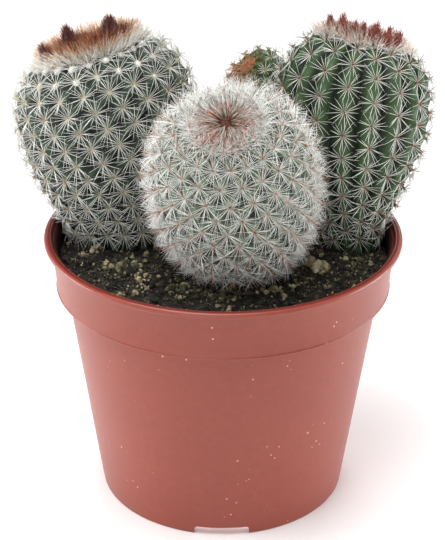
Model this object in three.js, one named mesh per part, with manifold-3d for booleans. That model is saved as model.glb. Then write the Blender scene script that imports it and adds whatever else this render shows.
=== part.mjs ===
// A potted round cactus: four club-shaped, ribbed cacti in one 12 cm plastic nursery pot.
// Millimetres, +Z up. The origin is on the pot's axis, on the ground it stands on.
// The camera of the photograph looks along +Y, so +X is the viewer's right.
//
// Each cactus is one grown body: a bent club with ribs, and its spines fused into it. The red-brown
// growth on each crown is another colour, so it is a body of its own that sits on the crown.
import * as THREE from "three";
import { mergeVertices } from "three/addons/utils/BufferGeometryUtils.js";
import Module from "manifold-3d";

// ---- Driving dimensions ----------------------------------------------------------------------

// Pot: a thin moulded pot with a straight collar and a rolled lip.
const LIP_R = 60; // outer radius of the lip: the pot's nominal 12 cm
const POT_H = 94;
const WALL = 1.4;
const LIP_H = 2.2; // height of the rolled lip
const COLLAR_H = 18; // lip included
const COLLAR_TOP_R = 57.5; // outer radius just under the lip
const COLLAR_LOW_R = 56.1;
const BODY_TOP_R = 52.9; // outer radius of the body where the collar steps in
const BODY_LOW_R = 42.2;
const FLOOR_Z = 3.2; // underside of the floor, above the ring the pot stands on
const FLOOR_T = 1.6;
const FOOT_RING_W = 3;
const POT_SIDES = 44;
const NOTCHES = 3; // drain notches through the foot ring
const NOTCH_W = 18.5;
const NOTCH_H = 3.1;
const DRAINS = 6; // drain holes in the floor
const DRAIN_R = 3.5;
const DRAIN_AT_R = 27;

// Soil.
const SOIL_Z = 87; // its surface in the middle of the pot
const SOIL_EDGE_DROP = 2.6; // how much lower it lies at the wall
const SOIL_LUMPS = [0.55, 0.4, 0.35]; // heights of the waves that its lumps are made of
const SOIL_RINGS = 8;
const SOIL_SECTORS = 32;
const GAP = 0.3; // between pieces that touch
const HOLE_SIDES = 16; // of the plain holes that the feet stand in
const HOLE_STEP = 0.09; // between their rings, as a share of the centre line
const HOLE_ABOVE = 4; // the holes run up past the soil by at least this
const HOLE_GAP = 0.45; // round a foot, whose facets lie otherwise than its hole's

// Cacti.
const RIB_FADE_Z = 8; // the relief fades out over this height, down to the soil
const RIB_FULL_AT = 0.6; // and over the crown, where a body is slimmer than this share of its head
const BURIED = 6; // below the soil, where a foot is plain, its rings end at this depth
const POT_CLEAR = 1.3; // a body that grew against the pot's wall lies this far inside it
const OVERHANG = 0.8; // and spreads over the lip by this much for each millimetre above it

// Spines.
const SPINE_SIDES = 3;
const SPINE_ROOT_R = 0.42;
const SPINE_SINK = 1.3; // how deep a root lies in the body
const SPINE_SHORTEST = 2;
const SPINE_OFF_CREST = 0.85; // a root stands this far beside its areole's middle and above it
const SPINE_TILTS = [0.6, 0.95]; // from straight out, in radians
const LOWEST_AREOLE = 2.5; // above the soil
const CROWN_SPINES_W = 7; // spines this near to the crown's bare disc point away from it
const KEEP_CLEAR = 0.8; // from the middle between two plants, the pot and the soil
const SPINE_SHARES = [1, 0.75, 0.5]; // lengths tried until a spine is clear
const SPINE_BENDS = [0, 0.6, 1.3, 2.2]; // and how far it is turned up along the body first
const SPINE_TESTED_AT = [0.2, 0.4, 0.6, 0.8, 1]; // shares of its length
const LENGTH_SPREAD = 0.2; // between the shortest and the longest spine wanted, as a share
const GOLDEN_ANGLE = Math.PI * (3 - Math.sqrt(5));

// foot, bend and crown are the three points of a body's centre line. headAt is how far up that line
// it is widest. clubPower is how long it stays slim above its foot, where 1 is a plain sine, and
// domePower how square its shoulder is, where 2 is round.
//
// Areoles stand on ribs, each with its areoles half a step lower than the last rib's. On a tubercled
// plant every areole has a tubercle of its own instead, and the ribs only count columns of them.
// drift is how many ribs the pattern turns in one areole step. tuft is the growth on the crown: a
// low cushion, with bristles that lean outwards the more the nearer they stand to its edge.
const PLANTS = [
  {
    name: "cactus_left",
    colour: 0x7d8f78,
    foot: [-34.2, 12.8, 76],
    bend: [-34.9, 22.8, 112],
    crown: [-45.4, 26.5, 150],
    footR: 14.2,
    headR: 30.5,
    headAt: 0.66,
    clubPower: 1.24,
    domePower: 2.8,
    tubercled: true,
    ribs: 42,
    ribDepth: 2.3,
    areoleStep: 13,
    drift: -0.84,
    spineLength: 4.8,
    bareCrownR: 15.5,
    seed: 11,
    tuftName: "crown_left",
    tuftColour: 0x7a3a30,
    tuft: { coreR: 14.5, coreH: 2.2, bristles: 48, length: 6.5, lean: 0.5 },
    buds: [
      { at: [-4.4, -5], radius: 3.4, height: 9.5 },
      { at: [8.5, -6], radius: 3.4, height: 9.5 },
      { at: [-12.5, -8], radius: 2.6, height: 6 },
      { at: [3.5, -9], radius: 2.2, height: 4.5 },
      { at: [12.5, -5], radius: 2.4, height: 5 },
    ],
  },
  {
    name: "cactus_front",
    colour: 0x8c9c84,
    foot: [4.5, -5.5, 76],
    bend: [5.2, -12.3, 111],
    crown: [0.6, -29.5, 145.2],
    footR: 11,
    headR: 25.9,
    headAt: 0.6,
    clubPower: 1.35,
    domePower: 2.6,
    tubercled: true,
    ribs: 40,
    ribDepth: 1.8,
    areoleStep: 11.8,
    drift: -0.4,
    spineLength: 5.4,
    bareCrownR: 6.5,
    seed: 23,
    tuftName: "crown_front",
    tuftColour: 0x9c5340,
    tuft: { coreR: 5.5, coreH: 1.4, bristles: 32, length: 7.5, lean: 0.85 },
    buds: [],
  },
  {
    name: "cactus_right",
    colour: 0x5c7a54,
    foot: [44.5, 8, 76],
    bend: [39.7, 19.2, 121],
    crown: [46.6, 26.2, 153],
    footR: 9,
    headR: 26.1,
    headAt: 0.64,
    clubPower: 1.6,
    domePower: 2.8,
    tubercled: false,
    ribs: 18,
    ribDepth: 3,
    areoleStep: 6.8,
    drift: 0,
    spineLength: 4.8,
    bareCrownR: 15.5,
    seed: 37,
    tuftName: "crown_right",
    tuftColour: 0x8a4334,
    tuft: { coreR: 12, coreH: 1.8, bristles: 26, length: 6, lean: 0.35 },
    buds: [
      { at: [-11.5, 0], radius: 1.3, height: 5.5 },
      { at: [-7.6, -2], radius: 1.9, height: 6.5 },
      { at: [-3.9, -4.6], radius: 1.1, height: 6 },
      { at: [-1.4, -5.5], radius: 1.2, height: 6 },
      { at: [2.1, -9], radius: 2.1, height: 7 },
      { at: [6, -11], radius: 1.9, height: 6.5 },
      { at: [9.6, -8], radius: 1.3, height: 6 },
      { at: [-5, 7], radius: 1.4, height: 3.5 },
      { at: [3, 9], radius: 1.4, height: 3.5 },
      { at: [10, 3], radius: 1.4, height: 4 },
    ],
  },
  {
    name: "cactus_back",
    colour: 0x68875a,
    foot: [19.5, 44.5, 76],
    bend: [17.3, 48, 126.7],
    crown: [7.9, 43.7, 136.3],
    footR: 6,
    headR: 11.9,
    headAt: 0.78,
    clubPower: 2,
    domePower: 2.5,
    tubercled: true,
    ribs: 20,
    ribDepth: 1.3,
    areoleStep: 9.6,
    drift: -0.4,
    spineLength: 3.6,
    bareCrownR: 4.5,
    seed: 41,
    tuftName: "crown_back",
    tuftColour: 0xa4572f,
    tuft: { coreR: 4, coreH: 1.1, bristles: 16, length: 4.2, lean: 0.8 },
    buds: [],
  },
];

// ---- Tools for solids ------------------------------------------------------------------------

const wasm = await Module();
wasm.setup();

const Z_AXIS = new THREE.Vector3(0, 0, 1);

// A closed three.js geometry as a manifold-3d solid.
function toSolid(geometry) {
  const bare = geometry.clone();
  bare.deleteAttribute("normal");
  bare.deleteAttribute("uv");
  const merged = mergeVertices(bare, 1e-4);
  return new wasm.Manifold(
    new wasm.Mesh({
      numProp: 3,
      vertProperties: new Float32Array(merged.attributes.position.array),
      triVerts: new Uint32Array(merged.index.array),
    }),
  );
}

// A solid as a geometry that three.js can draw.
function toGeometry(solid) {
  const mesh = solid.getMesh();
  const step = mesh.numProp;
  const flat = new Float32Array(mesh.numVert * 3);
  for (let i = 0; i < mesh.numVert; i++) {
    flat.set(mesh.vertProperties.subarray(i * step, i * step + 3), i * 3);
  }
  const geometry = new THREE.BufferGeometry();
  geometry.setAttribute("position", new THREE.BufferAttribute(flat, 3));
  geometry.setIndex(new THREE.BufferAttribute(mesh.triVerts, 1));
  geometry.computeVertexNormals();
  return geometry;
}

// Joins a list of solids pair by pair, which is much faster than one after another.
function joinAll(solids) {
  let rest = solids;
  while (rest.length > 1) {
    const joined = [];
    for (let i = 0; i + 1 < rest.length; i += 2) joined.push(rest[i].add(rest[i + 1]));
    if (rest.length % 2) joined.push(rest[rest.length - 1]);
    rest = joined;
  }
  return rest[0];
}

// The quaternion that turns +Z to a direction.
function turnTo(direction) {
  return new THREE.Quaternion().setFromUnitVectors(Z_AXIS, direction);
}

// The largest body of a solid: booleans can leave loose scraps.
function largestBody(solid) {
  const bodies = solid.decompose();
  return bodies.reduce((best, body) => (body.volume() > best.volume() ? body : best));
}

// A solid of revolution round Z from [radius, height] pairs.
function revolve(profile, sides) {
  const points = profile.map(([radius, height]) => new THREE.Vector2(radius, height));
  return toSolid(new THREE.LatheGeometry(points, sides).rotateX(Math.PI / 2));
}

function seededRandom(seed) {
  let state = seed;
  return () => {
    state = (state + 0x6d2b79f5) | 0;
    let t = Math.imul(state ^ (state >>> 15), 1 | state);
    t = (t + Math.imul(t ^ (t >>> 7), 61 | t)) ^ t;
    return ((t ^ (t >>> 14)) >>> 0) / 4294967296;
  };
}

// A closed solid from rings of points, each ring the same length, with a fan at both ends. leansBack
// says for which of the four-cornered fields between two rings the fold runs the other way.
function solidFromRings(rings, lowPoint, highPoint, leansBack = () => false) {
  const around = rings[0].length;
  const flat = [lowPoint, ...rings.flat(), highPoint].flatMap((p) => [p.x, p.y, p.z]);
  const last = rings.length * around + 1;
  const at = (ring, i) => 1 + ring * around + (i % around);
  const faces = [];
  for (let i = 0; i < around; i++) {
    faces.push(0, at(0, i + 1), at(0, i));
    faces.push(last, at(rings.length - 1, i), at(rings.length - 1, i + 1));
    for (let ring = 0; ring + 1 < rings.length; ring++) {
      const [a, b, c, d] = [at(ring, i), at(ring, i + 1), at(ring + 1, i + 1), at(ring + 1, i)];
      if (leansBack(ring, i)) faces.push(a, b, d, b, c, d);
      else faces.push(a, b, c, a, c, d);
    }
  }
  const geometry = new THREE.BufferGeometry();
  geometry.setAttribute("position", new THREE.Float32BufferAttribute(flat, 3));
  geometry.setIndex(faces);
  return toSolid(geometry);
}

// ---- Pot -------------------------------------------------------------------------------------

const STEP_Z = POT_H - COLLAR_H; // where the collar steps in to the body
const STEP_RISE = 0.8; // the ledge under the collar slopes by this much
const FLOOR_R = BODY_LOW_R - WALL + ((BODY_TOP_R - BODY_LOW_R) * FLOOR_Z) / STEP_Z;
const THROAT_Z = POT_H - LIP_H * 0.6; // where the inside starts to flare into the lip
const LIP_FLARE = 1.6;

// The inside of the pot from the floor up, as [radius, height] pairs.
const POT_INSIDE = [
  [FLOOR_R, FLOOR_Z + FLOOR_T],
  [BODY_TOP_R - WALL, STEP_Z],
  [COLLAR_LOW_R - WALL, STEP_Z + WALL],
  [COLLAR_TOP_R - WALL, THROAT_Z],
  [COLLAR_TOP_R - WALL + LIP_FLARE, POT_H],
];

// Inner radius of the pot's wall at height z.
function potInnerRadius(z) {
  const above = POT_INSIDE.findIndex(([, height]) => height >= z);
  if (above <= 0) return above < 0 ? LIP_R : POT_INSIDE[0][0];
  const [lowR, lowZ] = POT_INSIDE[above - 1];
  const [highR, highZ] = POT_INSIDE[above];
  return lowR + ((highR - lowR) * (z - lowZ)) / (highZ - lowZ);
}

function makePot() {
  const underLip = POT_H - LIP_H;
  const roll = LIP_H * 0.3; // how far the lip's corners are rounded off
  const solid = revolve(
    [
      [0, FLOOR_Z],
      [BODY_LOW_R - FOOT_RING_W, FLOOR_Z],
      [BODY_LOW_R - FOOT_RING_W, 0],
      [BODY_LOW_R, 0],
      [BODY_TOP_R, STEP_Z - STEP_RISE],
      [COLLAR_LOW_R, STEP_Z],
      [COLLAR_TOP_R, underLip],
      [LIP_R, underLip + roll],
      [LIP_R, POT_H - roll],
      [LIP_R - roll, POT_H],
      ...[...POT_INSIDE].reverse(),
      [0, FLOOR_Z + FLOOR_T],
    ],
    POT_SIDES,
  );
  return solid.subtract(joinAll([...drainNotches(), ...drainHoles()]));
}

// Notches with rounded upper corners through the foot ring, the first one at the front.
function drainNotches() {
  const shape = new THREE.Shape();
  const half = NOTCH_W / 2;
  const corner = 1.2;
  shape.moveTo(-half, -1);
  shape.lineTo(half, -1);
  shape.lineTo(half, NOTCH_H - corner);
  shape.quadraticCurveTo(half, NOTCH_H, half - corner, NOTCH_H);
  shape.lineTo(-half + corner, NOTCH_H);
  shape.quadraticCurveTo(-half, NOTCH_H, -half, NOTCH_H - corner);
  const margin = 4; // a cut runs past both faces of the ring
  const out = [];
  for (let i = 0; i < NOTCHES; i++) {
    const settings = { depth: FOOT_RING_W + 2 * margin, bevelEnabled: false, curveSegments: 2 };
    const cut = new THREE.ExtrudeGeometry(shape, settings);
    cut.rotateX(Math.PI / 2); // the shape's height now points up and its depth along -Y
    cut.translate(0, -BODY_LOW_R + FOOT_RING_W + margin, 0);
    cut.rotateZ((i * 2 * Math.PI) / NOTCHES);
    out.push(toSolid(cut));
  }
  return out;
}

function drainHoles() {
  const out = [];
  for (let i = 0; i < DRAINS; i++) {
    const angle = ((i + 0.5) * 2 * Math.PI) / DRAINS;
    const hole = new THREE.CylinderGeometry(DRAIN_R, DRAIN_R, FLOOR_T + 2, 10).rotateX(Math.PI / 2);
    hole.translate(DRAIN_AT_R * Math.cos(angle), DRAIN_AT_R * Math.sin(angle), FLOOR_Z + FLOOR_T / 2);
    out.push(toSolid(hole));
  }
  return out;
}

// ---- Cactus bodies ---------------------------------------------------------------------------

// A point on the centre line and the frame there: along it, and two directions across it.
function axisFrame(plant, t) {
  const line = new THREE.QuadraticBezierCurve3(
    new THREE.Vector3(...plant.foot),
    new THREE.Vector3(...plant.bend),
    new THREE.Vector3(...plant.crown),
  );
  const along = line.getTangent(t);
  const across = new THREE.Vector3(1, 0, 0).addScaledVector(along, -along.x).normalize();
  const other = new THREE.Vector3().crossVectors(along, across);
  return { centre: line.getPoint(t), along, across, other };
}

// Radius of the club at share t of the centre line, ribs left out.
function clubRadius(plant, t) {
  if (t < plant.headAt) {
    const grown = Math.sin((Math.PI / 2) * (t / plant.headAt));
    return plant.footR + (plant.headR - plant.footR) * Math.pow(grown, plant.clubPower);
  }
  const share = Math.min(1, (t - plant.headAt) / (1 - plant.headAt));
  return plant.headR * Math.pow(1 - Math.pow(share, plant.domePower), 1 / plant.domePower);
}

// How far a groove lies under the club's surface there.
function grooveDepth(plant, t) {
  const { centre } = axisFrame(plant, t);
  const fade = THREE.MathUtils.smoothstep(centre.z, SOIL_Z, SOIL_Z + RIB_FADE_Z);
  return plant.ribDepth * fade * Math.min(1, clubRadius(plant, t) / (plant.headR * RIB_FULL_AT));
}

// How much of the relief stands at a rib and at a number of steps down from the crown: 1 on a
// rib's crest or on the middle of a tubercle, 0 in a groove.
function reliefAt(plant, rib, steps) {
  if (!plant.tubercled) return Math.abs(Math.cos(Math.PI * rib));
  return 0.5 + 0.5 * Math.cos(Math.PI * rib) * Math.cos(2 * Math.PI * steps);
}

// Pulls a point in from the pot's wall, which the body has grown against, and lets it spread
// again over the lip.
function keepOffPot(point) {
  const wall = potInnerRadius(Math.min(point.z, THROAT_Z));
  const limit = wall - POT_CLEAR + OVERHANG * Math.max(0, point.z - POT_H);
  const share = Math.min(1, limit / Math.hypot(point.x, point.y));
  return point.set(point.x * share, point.y * share, point.z);
}

// The angle round the body of a rib, which may be a fraction, at a number of steps from the crown.
function ribAngle(plant, rib, steps) {
  return ((rib + plant.drift * steps) * 2 * Math.PI) / plant.ribs;
}

// A point of the surface at share t of the centre line, on a rib, steps down from the crown. swell
// is how far outside the surface it lies.
function surfacePoint(plant, t, rib, steps, swell = 0) {
  const { centre, along, across, other } = axisFrame(plant, t);
  const angle = ribAngle(plant, rib, steps);
  const groove = grooveDepth(plant, t) * (1 - reliefAt(plant, rib, steps));
  const radius = clubRadius(plant, t) - groove + swell;
  centre.addScaledVector(across, radius * Math.cos(angle));
  centre.addScaledVector(other, radius * Math.sin(angle));
  if (t > plant.headAt) centre.addScaledVector(along, swell);
  return keepOffPot(centre);
}

// Shares t of the centre line, from the crown down to the foot, that lie one even distance apart
// as measured over the plain club.
function sharesDown(plant, distance) {
  const fine = 1500;
  const shares = [];
  const clubPoint = (t) => {
    const { centre, across } = axisFrame(plant, t);
    return centre.addScaledVector(across, clubRadius(plant, t));
  };
  let walked = 0;
  let before = clubPoint(1);
  for (let i = 1; i <= fine; i++) {
    const t = 1 - i / fine;
    const here = clubPoint(t);
    walked += here.distanceTo(before);
    before = here;
    if (walked >= distance * (shares.length + 1)) shares.push(t);
  }
  return shares;
}

// The club with its relief. A ribbed body has a ring for each step and a crest and a groove for
// each rib. A tubercled one has a ring for each half step and one point for each rib, which is in
// turn the middle of a tubercle and a groove, and its folds run from groove to groove.
function clubSolid(plant, swell = 0) {
  const perStep = plant.tubercled ? 2 : 1;
  const perRib = plant.tubercled ? 1 : 2;
  const above = sharesDown(plant, plant.areoleStep / perStep)
    .map((t, i) => ({ t, steps: (i + 1) / perStep }))
    .filter(({ t }) => axisFrame(plant, t).centre.z > SOIL_Z - BURIED);
  const lowest = { t: 0, steps: (above.length + 1) / perStep };
  const rings = [...above, lowest].reverse().map(({ t, steps }) => {
    const ring = [];
    for (let i = 0; i < plant.ribs * perRib; i++) {
      ring.push(surfacePoint(plant, t, i / perRib, steps, swell));
    }
    return ring;
  });
  const low = axisFrame(plant, 0).centre;
  const { centre: high, along } = axisFrame(plant, 1);
  high.addScaledVector(along, swell);
  const leansBack = (ring, i) => plant.tubercled && (rings.length - ring + i) % 2 === 0;
  return solidFromRings(rings, low, high, leansBack);
}

function middleOf(points) {
  return points.reduce((sum, point) => sum.add(point), new THREE.Vector3()).divideScalar(points.length);
}

// The plain hole that a foot stands in: the club without ribs, a gap wider, up past the soil.
function footHole(plant) {
  const rings = [];
  for (let t = 0, topZ = 0; topZ < SOIL_Z + HOLE_ABOVE; t += HOLE_STEP) {
    const { centre, across, other, along } = axisFrame(plant, t);
    if (t === 0) centre.addScaledVector(along, -HOLE_GAP);
    topZ = centre.z;
    const radius = (clubRadius(plant, t) + HOLE_GAP) / Math.cos(Math.PI / HOLE_SIDES);
    const ring = [];
    for (let i = 0; i < HOLE_SIDES; i++) {
      const angle = (i * 2 * Math.PI) / HOLE_SIDES;
      const point = centre.clone().addScaledVector(across, radius * Math.cos(angle));
      ring.push(point.addScaledVector(other, radius * Math.sin(angle)));
    }
    rings.push(ring);
  }
  return solidFromRings(rings, middleOf(rings[0]), middleOf(rings[rings.length - 1]));
}

// ---- Areoles and spines ----------------------------------------------------------------------

const SHARE_UP = 0.004; // of the centre line, to find which way the surface rises

// The places spines grow from: on even ribs at whole steps from the crown, on odd ribs half a step
// lower.
function areoles(plant) {
  const shares = sharesDown(plant, plant.areoleStep / 2);
  const out = [];
  for (let rib = 0; rib < plant.ribs; rib++) {
    for (let row = 1 + (rib % 2); row < shares.length; row += 2) {
      const t = shares[row];
      const steps = (row + 1) / 2;
      const point = surfacePoint(plant, t, rib, steps);
      if (point.z < SOIL_Z + LOWEST_AREOLE) continue;
      const up = surfacePoint(plant, Math.min(1, t + SHARE_UP), rib, steps).sub(point).normalize();
      const { along, across, other } = axisFrame(plant, t);
      const angle = ribAngle(plant, rib, steps);
      const side = across.multiplyScalar(-Math.sin(angle)).addScaledVector(other, Math.cos(angle));
      const outward = new THREE.Vector3().crossVectors(side, up).normalize();
      const fromCrown = point.clone().sub(new THREE.Vector3(...plant.crown));
      const crownR = fromCrown.addScaledVector(along, -fromCrown.dot(along)).length();
      out.push({ point, outward, up, side, crownR: t > plant.headAt ? crownR : Infinity });
    }
  }
  return out;
}

// Points all over each plant's relief, to tell which plant a point in the air is nearest to.
const CLOUD_STEP = 2.5; // from one ring of points down to the next
const bodyClouds = new Map(
  PLANTS.map((plant) => {
    const points = [];
    sharesDown(plant, CLOUD_STEP).forEach((t, i) => {
      const steps = ((i + 1) * CLOUD_STEP) / plant.areoleStep;
      const count = plant.tubercled ? plant.ribs : plant.ribs * 2;
      for (let k = 0; k < count; k++) {
        points.push(surfacePoint(plant, t, (k * plant.ribs) / count, steps));
      }
    });
    return [plant.name, points];
  }),
);

function distanceTo(name, point) {
  let best = Infinity;
  for (const other of bodyClouds.get(name)) best = Math.min(best, other.distanceToSquared(point));
  return Math.sqrt(best);
}

// True where a point of a spine is on its own plant's side of the middle, and clear of pot and soil.
function isClear(plant, point) {
  const fromAxis = Math.hypot(point.x, point.y);
  if (point.z < POT_H + KEEP_CLEAR && fromAxis > potInnerRadius(point.z) - KEEP_CLEAR) return false;
  if (point.z < soilHeight(point.x, point.y) + KEEP_CLEAR) return false;
  const own = distanceTo(plant.name, point);
  return PLANTS.every((other) => other === plant || distanceTo(other.name, point) > own + KEEP_CLEAR);
}

// A pointed spine whose root is sunk in what it grows from.
function spineSolid(root, direction, length) {
  const cone = new THREE.ConeGeometry(SPINE_ROOT_R, length + SPINE_SINK, SPINE_SIDES);
  cone.rotateX(Math.PI / 2);
  cone.translate(0, 0, (length + SPINE_SINK) / 2 - SPINE_SINK);
  cone.applyQuaternion(turnTo(direction));
  cone.translate(root.x, root.y, root.z);
  return toSolid(cone);
}

// The spine, turned up along the plant's own surface and then shortened until it is clear, or null.
function fitSpine(plant, root, wanted, up, length) {
  for (const share of SPINE_SHARES) {
    const reach = length * share;
    if (reach < SPINE_SHORTEST) continue;
    for (const bend of SPINE_BENDS) {
      const direction = wanted.clone().addScaledVector(up, bend).normalize();
      const pointAt = (part) => root.clone().addScaledVector(direction, reach * part);
      if (SPINE_TESTED_AT.every((part) => isClear(plant, pointAt(part)))) {
        return spineSolid(root, direction, reach);
      }
    }
  }
  return null;
}

// One spine for two areoles in three, turned a golden angle further round at each.
function bodySpines(plant) {
  const random = seededRandom(plant.seed);
  const [leastTilt, mostTilt] = SPINE_TILTS;
  const out = [];
  areoles(plant)
    .filter((areole) => areole.crownR >= plant.bareCrownR)
    .forEach((areole, count) => {
      if (count % 3 === 2) return;
      const around = GOLDEN_ANGLE * count;
      const tilt = leastTilt + (mostTilt - leastTilt) * random();
      const nearCrown = areole.crownR < plant.bareCrownR + CROWN_SPINES_W;
      const upwards = nearCrown ? -Math.abs(Math.sin(around)) : Math.sin(around);
      const wanted = areole.outward
        .clone()
        .multiplyScalar(Math.cos(tilt))
        .addScaledVector(areole.side, Math.cos(around) * Math.sin(tilt))
        .addScaledVector(areole.up, upwards * Math.sin(tilt))
        .normalize();
      const root = areole.point
        .clone()
        .addScaledVector(areole.side, SPINE_OFF_CREST)
        .addScaledVector(areole.up, SPINE_OFF_CREST);
      const length = plant.spineLength * (1 + LENGTH_SPREAD * (random() - 0.5));
      const spine = fitSpine(plant, root, wanted, areole.up, length);
      if (spine) out.push(spine);
    });
  return out;
}

function makeCactus(plant) {
  return largestBody(clubSolid(plant).add(joinAll(bodySpines(plant))));
}

// ---- Crown growth ----------------------------------------------------------------------------

// A low cushion on the crown with bristles and pointed buds standing out of it.
function makeTuft(plant) {
  const { centre, along, across, other } = axisFrame(plant, 1);
  const place = (x, y, z) =>
    centre.clone().addScaledVector(across, x).addScaledVector(other, y).addScaledVector(along, z);
  // Straight up from the crown, leaning out by x across it and y the other way.
  const leaning = (x, y) => along.clone().addScaledVector(across, x).addScaledVector(other, y).normalize();

  const pieces = [cushionSolid(plant.tuft, centre, along), ...tuftBristles(plant, place, leaning)];
  const budLean = 0.018; // for each millimetre from the middle
  const budSink = 0.5;
  for (const { at, radius, height } of plant.buds) {
    const [x, y] = at;
    pieces.push(budSolid(place(x, y, -budSink), leaning(x * budLean, y * budLean), radius, height));
  }
  return largestBody(joinAll(pieces).subtract(clubSolid(plant, GAP)));
}

function cushionSolid(tuft, centre, along) {
  const cushion = new THREE.SphereGeometry(1, 12, 6).rotateX(Math.PI / 2);
  cushion.scale(tuft.coreR, tuft.coreR, tuft.coreH);
  cushion.applyQuaternion(turnTo(along));
  cushion.translate(centre.x, centre.y, centre.z);
  return toSolid(cushion);
}

// Bristles spread evenly over the cushion, upright in the middle and leaning out at its edge.
function tuftBristles(plant, place, leaning) {
  const { tuft } = plant;
  const random = seededRandom(plant.seed);
  const spread = 0.9; // of the cushion's radius
  const sink = 0.8; // roots stand at this share of its height
  const unevenLean = 0.12;
  const bristles = [];
  for (let i = 0; i < tuft.bristles; i++) {
    const share = Math.sqrt((i + 0.5) / tuft.bristles);
    const angle = i * GOLDEN_ANGLE;
    const x = Math.cos(angle);
    const y = Math.sin(angle);
    const out = tuft.coreR * spread * share;
    const height = tuft.coreH * Math.sqrt(1 - Math.pow(spread * share, 2));
    const lean = tuft.lean * share + unevenLean * (random() - 0.5);
    const length = tuft.length * (1 + LENGTH_SPREAD * (random() - 0.5));
    const root = place(out * x, out * y, height * sink);
    const spine = fitSpine(plant, root, leaning(lean * x, lean * y), leaning(0, 0), length);
    if (spine) bristles.push(spine);
  }
  return bristles;
}

// A closed bud: narrow at its foot, widest low down and pointed, with six faces.
function budSolid(root, direction, radius, height) {
  const profile = [
    [0, 0],
    [radius * 0.8, 0],
    [radius, height * 0.35],
    [radius * 0.7, height * 0.7],
    [0, height],
  ];
  const points = profile.map(([r, z]) => new THREE.Vector2(r, z));
  const bud = new THREE.LatheGeometry(points, 6).rotateX(Math.PI / 2);
  bud.applyQuaternion(turnTo(direction));
  bud.translate(root.x, root.y, root.z);
  return toSolid(bud);
}

// ---- Soil ------------------------------------------------------------------------------------

// Height of the soil: a low mound with lumps.
function soilHeight(x, y) {
  const share = Math.min(1, Math.hypot(x, y) / potInnerRadius(SOIL_Z));
  const [broad, slanted, narrow] = SOIL_LUMPS;
  const lumps =
    broad * Math.sin(0.31 * x + 1.3) * Math.cos(0.27 * y) +
    slanted * Math.sin(0.62 * x - 0.45 * y + 0.7) +
    narrow * Math.cos(0.53 * y + 0.21 * x + 2.1);
  return SOIL_Z - SOIL_EDGE_DROP * Math.pow(share, 4) + lumps;
}

function makeSoil() {
  const chord = Math.cos(Math.PI / POT_SIDES); // the pot's wall is faceted, so its flats lie nearer
  const wallR = (z) => (potInnerRadius(z) - GAP) * chord;
  const ringAt = (radius, height) => {
    const ring = [];
    for (let i = 0; i < SOIL_SECTORS; i++) {
      const angle = (i * 2 * Math.PI) / SOIL_SECTORS;
      const x = radius * Math.cos(angle);
      const y = radius * Math.sin(angle);
      ring.push(new THREE.Vector3(x, y, height === null ? soilHeight(x, y) : height));
    }
    return ring;
  };
  const [floor, ledge, collar] = POT_INSIDE.slice(0, 3).map(([, height]) => height + GAP);
  const lowestEdge = SOIL_Z - SOIL_EDGE_DROP - SOIL_LUMPS.reduce((sum, lump) => sum + lump);
  const rings = [
    ringAt(wallR(floor - GAP), floor),
    ringAt(wallR(ledge - GAP), ledge),
    ringAt(wallR(collar - GAP), collar),
    ringAt(wallR(lowestEdge), null),
  ];
  for (let i = SOIL_RINGS - 1; i > 0; i--) rings.push(ringAt((wallR(SOIL_Z) * i) / SOIL_RINGS, null));
  const low = new THREE.Vector3(0, 0, floor);
  const high = new THREE.Vector3(0, 0, soilHeight(0, 0));
  const filling = solidFromRings(rings, low, high);
  return largestBody(filling.subtract(joinAll(PLANTS.map(footHole))));
}

// ---- The object ------------------------------------------------------------------------------

function addPiece(group, name, solid, colour, roughness) {
  const material = new THREE.MeshStandardMaterial({ color: colour, roughness, metalness: 0 });
  const mesh = new THREE.Mesh(toGeometry(solid), material);
  mesh.name = name;
  group.add(mesh);
}

const group = new THREE.Group();
addPiece(group, "pot", makePot(), 0xa85c4e, 0.45);
addPiece(group, "soil", makeSoil(), 0x2a2219, 0.95);
for (const plant of PLANTS) {
  addPiece(group, plant.name, makeCactus(plant), plant.colour, 0.7);
  addPiece(group, plant.tuftName, makeTuft(plant), plant.tuftColour, 0.8);
}

export default group;
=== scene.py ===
"""The looks of a potted round cactus: four club-shaped cacti in a 12 cm nursery pot.

Lengths are millimetres until a mesh is made, which is when MM turns them into metres. The plants'
centre lines, reliefs and rows of areoles follow the same rules as the solids they replace.
"""

import math

import bmesh
import bpy
import numpy as np
from mathutils import Matrix, Vector, noise


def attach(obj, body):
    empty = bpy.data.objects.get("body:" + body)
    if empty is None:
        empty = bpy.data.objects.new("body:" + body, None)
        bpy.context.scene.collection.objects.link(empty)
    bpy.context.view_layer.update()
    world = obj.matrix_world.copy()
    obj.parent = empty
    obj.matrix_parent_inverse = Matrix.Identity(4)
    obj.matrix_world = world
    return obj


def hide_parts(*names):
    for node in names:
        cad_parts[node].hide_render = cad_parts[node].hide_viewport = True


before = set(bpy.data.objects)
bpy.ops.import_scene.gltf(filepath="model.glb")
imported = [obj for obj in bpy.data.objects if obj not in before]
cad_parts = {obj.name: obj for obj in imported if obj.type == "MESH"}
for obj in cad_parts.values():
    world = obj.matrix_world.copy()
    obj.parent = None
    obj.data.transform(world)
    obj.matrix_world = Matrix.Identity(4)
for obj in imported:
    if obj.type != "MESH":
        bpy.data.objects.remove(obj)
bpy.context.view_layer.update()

MM = 0.001
GOLDEN = math.pi * (3 - math.sqrt(5))

# ---- Driving dimensions ----

LIP_R, POT_H, WALL, LIP_H, COLLAR_H = 60.0, 94.0, 1.4, 2.2, 18.0
COLLAR_TOP_R, COLLAR_LOW_R = 57.5, 56.1
BODY_TOP_R, BODY_LOW_R = 52.9, 42.2
FLOOR_Z, FLOOR_T, FOOT_RING_W = 3.2, 1.6, 3.0
NOTCHES, NOTCH_W, NOTCH_H = 3, 18.5, 3.1
DRAINS, DRAIN_R, DRAIN_AT_R = 6, 3.5, 27.0
STEP_Z = POT_H - COLLAR_H

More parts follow.
